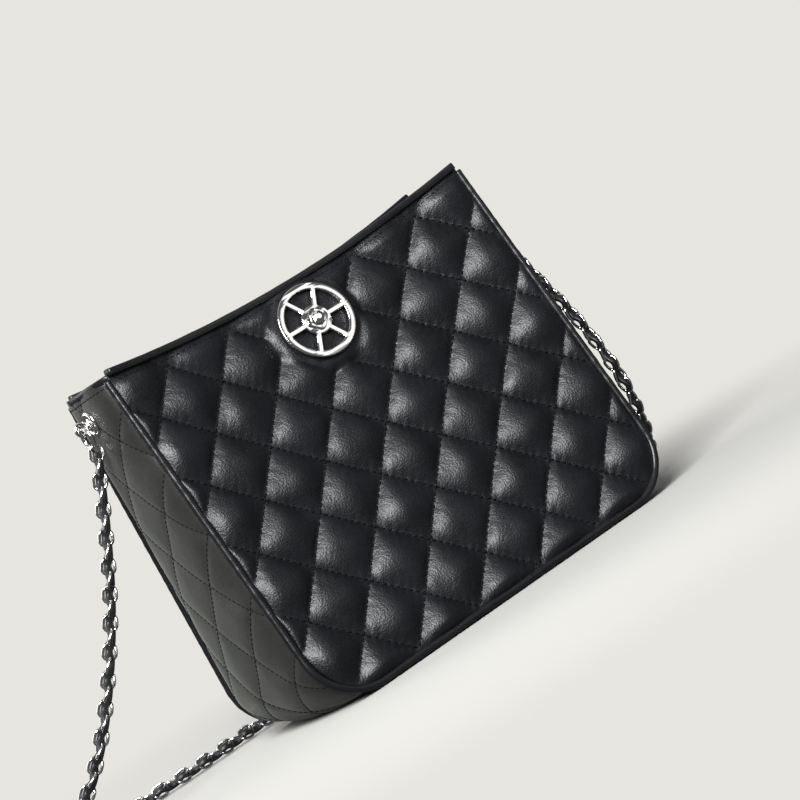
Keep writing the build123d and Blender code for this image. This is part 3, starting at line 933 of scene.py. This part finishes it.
rows = []
for sign in (1, -1):
    for k in range(-24, 25):
        goal = 2 * k - sign * down_cells
        inside = across_cells[:, STITCH_MARGIN] < goal
        inside &= goal < across_cells[:, -1 - STITCH_MARGIN]
        for start, stop in true_runs(inside):
            if stop - start <= 3:
                continue
            line, normal = [
                np.array([
                    [np.interp(goal[i], across_cells[i], grid[i, :, j]) for j in range(3)]
                    for i in range(start, stop)
                ])
                for grid in (gusset_outer, gusset_normal)
            ]
            rows += stitch_row(line, normal, *GUSSET_STITCH)
clear = slice(STITCH_MARGIN, -STITCH_MARGIN)
for i in (4, -5):
    rows += stitch_row(gusset_outer[i, clear], gusset_normal[i, clear], *GUSSET_STITCH)
gusset_stitches = stitches("gusset_stitches", rows, THREAD)
blended(gusset_stitches, "trim_leather")

# ---- lining, facings, gusset bindings
LINING_NEAR = 1.7 * MM
LINING_FAR = 2.4 * MM
FACING_NEAR = LINING_FAR + 0.3 * MM
FACING_FAR = 3.4 * MM
FACING_HEIGHT = 28 * MM
BOARD_LIFT = 1.65 * MM
SIDE_BINDING_INSET = 2.1 * MM
SIDE_BINDING_LIFT = 0.05 * MM
SIDE_BINDING_THICK = 2.2 * MM


def inset(grid, distance):
    """The gusset's face moved inwards, and clear of the stiffener at the foot."""
    normal = outward(grid)
    under = smoothstep(-normal[..., 2] * 1.6)
    return grid - normal * (distance + BOARD_LIFT * under)[..., None]


inside_top = GUSSET_TOP - BINDING_HEIGHT
lining_base = gusset_grid(inside_top, across=48, step=2.2 * MM, edge=0.6 * MM)
soft = np.abs(waves(lining_base[..., 0] + lining_base[..., 1], lining_base[..., 2], 30 * MM, 51))
lining_far = inset(lining_base, LINING_FAR + 0.25 * MM * soft)
shape = sheet_between(inset(lining_base, LINING_NEAR), lining_far)
piece = built("gusset_lining_cloth", *shape, LINING)
blended(piece, "lining_cloth", "gusset_lining")

facing_step = 1.6 * MM
facing_base = gusset_grid(inside_top, across=48, step=facing_step, edge=0.3 * MM)
facing_line = u_line(HALF, SEAM_BASE, CORNER_RADIUS, inside_top, facing_step)
binding_base = gusset_grid(GUSSET_TOP - BINDING_HEIGHT / 2, across=64, step=2 * MM)
for side, side_name in ENDS:
    kept = (facing_line[:, 0] * side > 0) & (facing_line[:, 1] > GUSSET_TOP - FACING_HEIGHT)
    base = facing_base[kept]
    sideways = np.array([side, 0, 0])
    shape = sheet_between(base - sideways * FACING_NEAR, base - sideways * FACING_FAR)
    piece = built(f"gusset_facing_strip_{side_name}", *shape, TRIM)
    blended(piece, "trim_leather", f"gusset_facing_{side_name}")
    row = binding_base[0 if side == LEFT else -1] - sideways * SIDE_BINDING_INSET
    row = row + np.array([0, 0, SIDE_BINDING_LIFT])
    profile = oval(SIDE_BINDING_THICK, BINDING_HEIGHT / 2, BINDING_SIDES, BINDING_SQUARE)
    piece = built(f"gusset_mouth_binding_{side_name}", *tube(row, sideways, profile), TRIM)
    blended(piece, "trim_leather", f"gusset_binding_{side_name}")

LINING_INSET = 3.4 * MM
INSIDE_DROP = BINDING_HEIGHT - 0.4 * MM


def inner_sheet(side, near, far, height, ripple, seed):
    """A closed sheet inside a panel, from the mouth down to the foot, or of a given height."""
    if height is None:
        x, z = panel_grid(2.4 * MM)
        x = x * (HALF - LINING_INSET) / HALF
        top = mouth_height(x) - INSIDE_DROP
        share = (z - z[:1]) / np.maximum(z[-1:] - z[:1], 1e-9)
        z = z + LINING_INSET * (1 - share) - (z[-1:] - top) * share
    else:
        across = np.linspace(-1, 1, 80) * (HALF - LINING_INSET)
        x, share = np.meshgrid(across, np.linspace(0, 1, 16))
        z = mouth_height(x) - height + share * (height - INSIDE_DROP)
    wave = ripple * np.abs(waves(x, z, 26 * MM, seed))
    return sheet_between(panel_face(side, x, z, near), panel_face(side, x, z, far + wave))


for side, side_name, body in PANELS:
    for kind, near, far, height, ripple, material, slot_name in (
        ("lining", 5.4 * MM, 6.1 * MM, None, 0.12 * MM, LINING, "lining_cloth"),
        ("facing", 6.25 * MM, 7.15 * MM, FACING_HEIGHT, 0.0, TRIM, "trim_leather"),
    ):
        shape = inner_sheet(side, near, far, height, ripple, 61 + side)
        piece = built(f"{side_name}_{kind}_sheet", *shape, material)
        riding(piece, body, slot_name, f"{side_name}_{kind}")

POCKET_HALF, POCKET_FOOT, POCKET_TOP = 62 * MM, 36 * MM, 122 * MM
POCKET_DEPTH, POCKET_CLOTH, POCKET_FULLNESS = 6.5 * MM, 0.6 * MM, 1.5 * MM
POCKET_GAPE, GAPE_START, GAPE_RUN = 0.25, 95 * MM, 27 * MM
HEM, HEM_START, HEM_RUN = 0.45 * MM, 116 * MM, 1.2 * MM
x, z = np.meshgrid(
    np.linspace(-POCKET_HALF, POCKET_HALF, 90), np.linspace(POCKET_FOOT, POCKET_TOP, 60)
)
lift = puff_profile(np.abs(x) / POCKET_HALF) * smoothstep((z - POCKET_FOOT) / (9 * MM))
lift = lift * (1 + POCKET_GAPE * smoothstep((z - GAPE_START) / GAPE_RUN))
near = POCKET_DEPTH + lift * POCKET_FULLNESS
far = near + POCKET_CLOTH + HEM * smoothstep((z - HEM_START) / HEM_RUN)
shape = sheet_between(panel_face(BACK, x, z, near), panel_face(BACK, x, z, far))
piece = built("slip_pocket_cloth", *shape, LINING)
riding(piece, "bag", "lining_cloth", "slip_pocket")

# ---- ornament
ORNAMENT_RADIUS = 18 * MM
ORNAMENT_BAND = 3.2 * MM
ORNAMENT_PLATE = 1.5 * MM
ORNAMENT_EDGE = 0.42 * MM
HUB = 7.0 * MM
SPOKES = 6
SPOKE_WIDTH = 2.3 * MM
STUD_SIZE, STUD_CORNER, STUD_BASE, STUD_EDGE = 9 * MM, 2.3 * MM, 1.2 * MM, 0.4 * MM
FLAT_FACE = 2e-6  # square metres: larger faces of a plate are shaded flat
GEM_SIDES = 8
# rings of the stud's cap: height and radius in mm, and turn in sides
GEM_RINGS = ((0.0, 3.7, 0), (0.5, 3.6, 0), (1.45, 2.9, 0.5), (2.15, 1.7, 0), (2.4, 1.25, 0.5))

out_of_panel = Vector((0, -cos(CENTRE_LEAN), sin(CENTRE_LEAN)))
up_panel = Vector((0, sin(CENTRE_LEAN), cos(CENTRE_LEAN)))
seat = Vector(panel_face(FRONT, np.array(0.0), np.array(ORNAMENT_HEIGHT)))
seat = seat + out_of_panel * ORNAMENT_LIFT
ornament_turn = Matrix(((1, 0, 0), tuple(up_panel), tuple(out_of_panel))).transposed().to_4x4()
ornament_place = Matrix.Translation(seat) @ ornament_turn


def plate(name, outlines, thickness, edge, place):
    """Flat metal plate with rounded edges, from one outer outline and any holes."""
    curve = bpy.data.curves.new(name, "CURVE")
    curve.dimensions = "2D"
    curve.fill_mode = "BOTH"
    curve.extrude = thickness / 2 - edge
    curve.bevel_depth = edge
    curve.bevel_resolution = 3
    curve.offset = -edge
    for outline in outlines:
        spline = curve.splines.new("POLY")
        spline.points.add(len(outline) - 1)
        for point, (across, up) in zip(spline.points, outline):
            point.co = (across, up, 0, 1)
        spline.use_cyclic_u = True
    mesh = mesh_of(curve)
    face_outwards(mesh, merge=1e-6)
    mesh.transform(place @ Matrix.Translation((0, 0, thickness / 2)))
    mesh.materials.clear()
    mesh.materials.append(SILVER)
    for polygon in mesh.polygons:
        polygon.use_smooth = polygon.area < FLAT_FACE
    return linked(name, mesh)


def arc_points(radius, angles):
    return [(radius * cos(a), radius * sin(a)) for a in angles]


def sector(inner, outer, number):
    """Opening between two spokes of the wheel."""
    middle = (number + 0.5) * TAU / SPOKES
    half_in = pi / SPOKES - asin(SPOKE_WIDTH / 2 / inner)
    half_out = pi / SPOKES - asin(SPOKE_WIDTH / 2 / outer)
    points = arc_points(inner, middle + np.linspace(-half_in, half_in, 14))
    points += arc_points(outer, middle + np.linspace(half_out, -half_out, 26))
    return points[::-1]


def rounded_square(size, corner):
    """Outline of a square with round corners."""
    points = []
    reach = size / 2 - corner
    for cx, cy, start in ((1, 1, 0), (-1, 1, 1), (-1, -1, 2), (1, -1, 3)):
        for across, up in arc_points(corner, np.linspace(start, start + 1, 10) * pi / 2):
            points.append((cx * reach + across, cy * reach + up))
    return points


wheel = [arc_points(ORNAMENT_RADIUS, np.arange(120) * TAU / 120)]
wheel += [sector(HUB, ORNAMENT_RADIUS - ORNAMENT_BAND, number) for number in range(SPOKES)]
piece = plate("ornament_wheel", wheel, ORNAMENT_PLATE, ORNAMENT_EDGE, ornament_place)
riding(piece, "front", "bright_metal", "ornament_plate")

stud_place = ornament_place @ Matrix.Translation((0, 0, ORNAMENT_PLATE))
stud_place = stud_place @ Matrix.Rotation(pi / 4, 4, "Z")
stud = [rounded_square(STUD_SIZE, STUD_CORNER)]
piece = plate("ornament_stud_base", stud, STUD_BASE, STUD_EDGE, stud_place)
riding(piece, "front", "bright_metal")

verts = [
    (across, up, height * MM)
    for height, radius, phase in GEM_RINGS
    for across, up in arc_points(radius * MM, (np.arange(GEM_SIDES) + phase) * TAU / GEM_SIDES)
]
faces = []
for ring in range(len(GEM_RINGS) - 1):
    rising = GEM_RINGS[ring + 1][2] >= GEM_RINGS[ring][2]
    for i in range(GEM_SIDES):
        a, b = ring * GEM_SIDES + i, ring * GEM_SIDES + (i + 1) % GEM_SIDES
        c, d = a + GEM_SIDES, b + GEM_SIDES
        faces += [(a, b, c), (b, d, c)] if rising else [(a, b, d), (a, d, c)]
faces += end_faces(len(GEM_RINGS), GEM_SIDES)[::-1]
gem_place = stud_place @ Matrix.Translation((0, 0, STUD_BASE - 0.05 * MM))
gem_points = [tuple(gem_place @ Vector(v)) for v in verts]
piece = built("ornament_stud_cap", gem_points, faces, SILVER, smooth=False)
riding(piece, "front", "bright_metal", "ornament_stud")

# ---- strap anchors
ANCHOR_PROFILE_MM = (  # distance out of the gusset and radius
    (-0.1, 5.2), (-0.1, 5.9), (0.35, 6.0), (0.75, 5.85), (1.05, 5.45), (1.2, 4.9), (1.15, 4.2),
    (0.95, 3.6), (0.9, 3.0), (1.05, 2.4), (1.3, 1.9), (1.45, 1.5), (1.6, 1.25), (2.3, 1.2),
    (2.9, 1.2),
)
BARREL_RADIUS, BARREL_DEPTH, BARREL_START = 2.2 * MM, 4.2 * MM, 0.1 * MM
EYE_RADIUS, EYE_WIRE = 2.7 * MM, 0.9 * MM
for side, side_name in ENDS:
    face = np.array([side * SIDE_FACE, 0, ANCHOR_HEIGHT])
    axis = (side, 0, 0)
    disc = turned_part([(out * MM, radius * MM) for out, radius in ANCHOR_PROFILE_MM], face, axis)
    eye_line = circle_about(face + np.array(axis) * EYE_REACH, (0, 1, 0), EYE_RADIUS, 40)
    eye = tube(eye_line, (0, 1, 0), oval(EYE_WIRE, EYE_WIRE, 14), closed=True)
    barrel_profile = [(-BARREL_DEPTH, BARREL_RADIUS), (-BARREL_START, BARREL_RADIUS)]
    barrel = turned_part(barrel_profile, face, axis, 32)
    piece = built(f"strap_anchor_disc_{side_name}", *joined([disc, eye, barrel]), SILVER)
    riding(piece, "bag", "bright_metal", f"strap_anchor_{side_name}")

# ---- finish of the CAD nodes that stay
for material, nodes in (
    (SILVER, ("strap_ring_left", "strap_ring_right")),
    (SNAP, ("ornament_washer", "strap_washer_left", "strap_washer_right")),
    (SNAP, ("snap_front", "snap_back", "snap_washer_front", "snap_washer_back")),
    (BOARD, ("base_board",)),
):
    for node in nodes:
        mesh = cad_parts[node].data
        mesh.materials.clear()
        mesh.materials.append(material)

# ---- floor, backdrop and light
BACKDROP = (0.80, 0.785, 0.745)
FLOOR_MATTE = (0.56, 0.55, 0.522)
FLOOR_RADIUS, DOME_RADIUS = 14.5, 15
FLOOR_GAP = 0.2 * MM
FADE_START, FADE_END = 0.13, 0.42
WORLD_COLOUR, WORLD_STRENGTH = (0.80, 0.83, 0.88), 0.12
AIM = Vector((0, 0, 0.09))


def stage_material(name, fading):
    """Plain backdrop tone; the floor is matte near the bag and fades into that tone."""
    material, tree, place = new_material(name)
    tree.nodes.remove(tree.nodes["Principled BSDF"])
    surface = added(tree, "ShaderNodeEmission", {"Color": (*BACKDROP, 1)})
    if fading:
        matte = added(tree, "ShaderNodeBsdfDiffuse", {"Color": (*FLOOR_MATTE, 1)})
        reach = added(tree, "ShaderNodeVectorMath", {0: place})
        reach.operation = "LENGTH"
        fade = added(
            tree, "ShaderNodeMapRange",
            {"Value": reach.outputs["Value"], "From Min": FADE_START, "From Max": FADE_END},
        )
        fade.interpolation_type = "SMOOTHSTEP"
        shaders = {"Fac": fade.outputs["Result"], 1: matte.outputs[0], 2: surface.outputs[0]}
        surface = added(tree, "ShaderNodeMixShader", shaders)
    set_inputs(tree, tree.nodes["Material Output"], {"Surface": surface.outputs[0]})
    return material


def stage_piece(name, shape, material, **size):
    """Part of the floor or backdrop, seen by the camera but not in the metal."""
    bm = bmesh.new()
    shape(bm, **size)
    mesh = bpy.data.meshes.new(name)
    bm.to_mesh(mesh)
    bm.free()
    mesh.materials.append(material)
    obj = linked(name, mesh)
    obj.visible_glossy = False
    return obj


floor = stage_piece(
    "floor", bmesh.ops.create_circle, stage_material("floor", True),
    cap_ends=True, radius=FLOOR_RADIUS, segments=96,
)
floor.location = (0, 0, -FLOOR_GAP)
dome = stage_piece(
    "backdrop", bmesh.ops.create_icosphere, stage_material("backdrop", False),
    subdivisions=4, radius=DOME_RADIUS,
)
dome.visible_diffuse = False
dome.visible_shadow = False

world = bpy.data.worlds.new("world")
bpy.context.scene.world = world
world.use_nodes = True
background = {"Color": (*WORLD_COLOUR, 1), "Strength": WORLD_STRENGTH}
set_inputs(world.node_tree, world.node_tree.nodes["Background"], background)
bpy.context.scene.view_settings.view_transform = "Standard"


def softbox(name, direction, distance, size, power, colour):
    """Square soft light aimed at the bag.

    Its direction is (right, up, towards the viewer) of the camera's picture.
    """
    data = bpy.data.lights.new(name, "AREA")
    data.shape = "RECTANGLE"
    data.size, data.size_y = size
    data.energy = power
    data.color = colour
    light = linked(name, data)
    right, up, back = direction
    way = (view_right * right + view_up * up + view_back * back).normalized()
    light.location = AIM + way * distance
    light.rotation_mode = "QUATERNION"
    light.rotation_quaternion = way.to_track_quat("Z", "Y")


softbox("key", (-0.42, 0.40, 0.88), 1.9, (0.9, 1.05), 68, (0.97, 0.985, 1.0))
softbox("side", (-1.0, 0.0, -0.35), 1.6, (1.0, 1.2), 9, (0.98, 0.99, 1.0))
softbox("top", (-0.53, 0.85, -0.2), 2.0, (2.4, 2.4), 11, (1.0, 0.99, 0.97))
# a small card that the ornament's flat face mirrors to the camera
mirrored = out_of_panel * 2 * out_of_panel.dot(view_back) - view_back
card_way = (mirrored.dot(view_right), mirrored.dot(view_up), mirrored.dot(view_back))
softbox("card", card_way, 1.6, (0.36, 0.36), 0.5, (1, 1, 1))
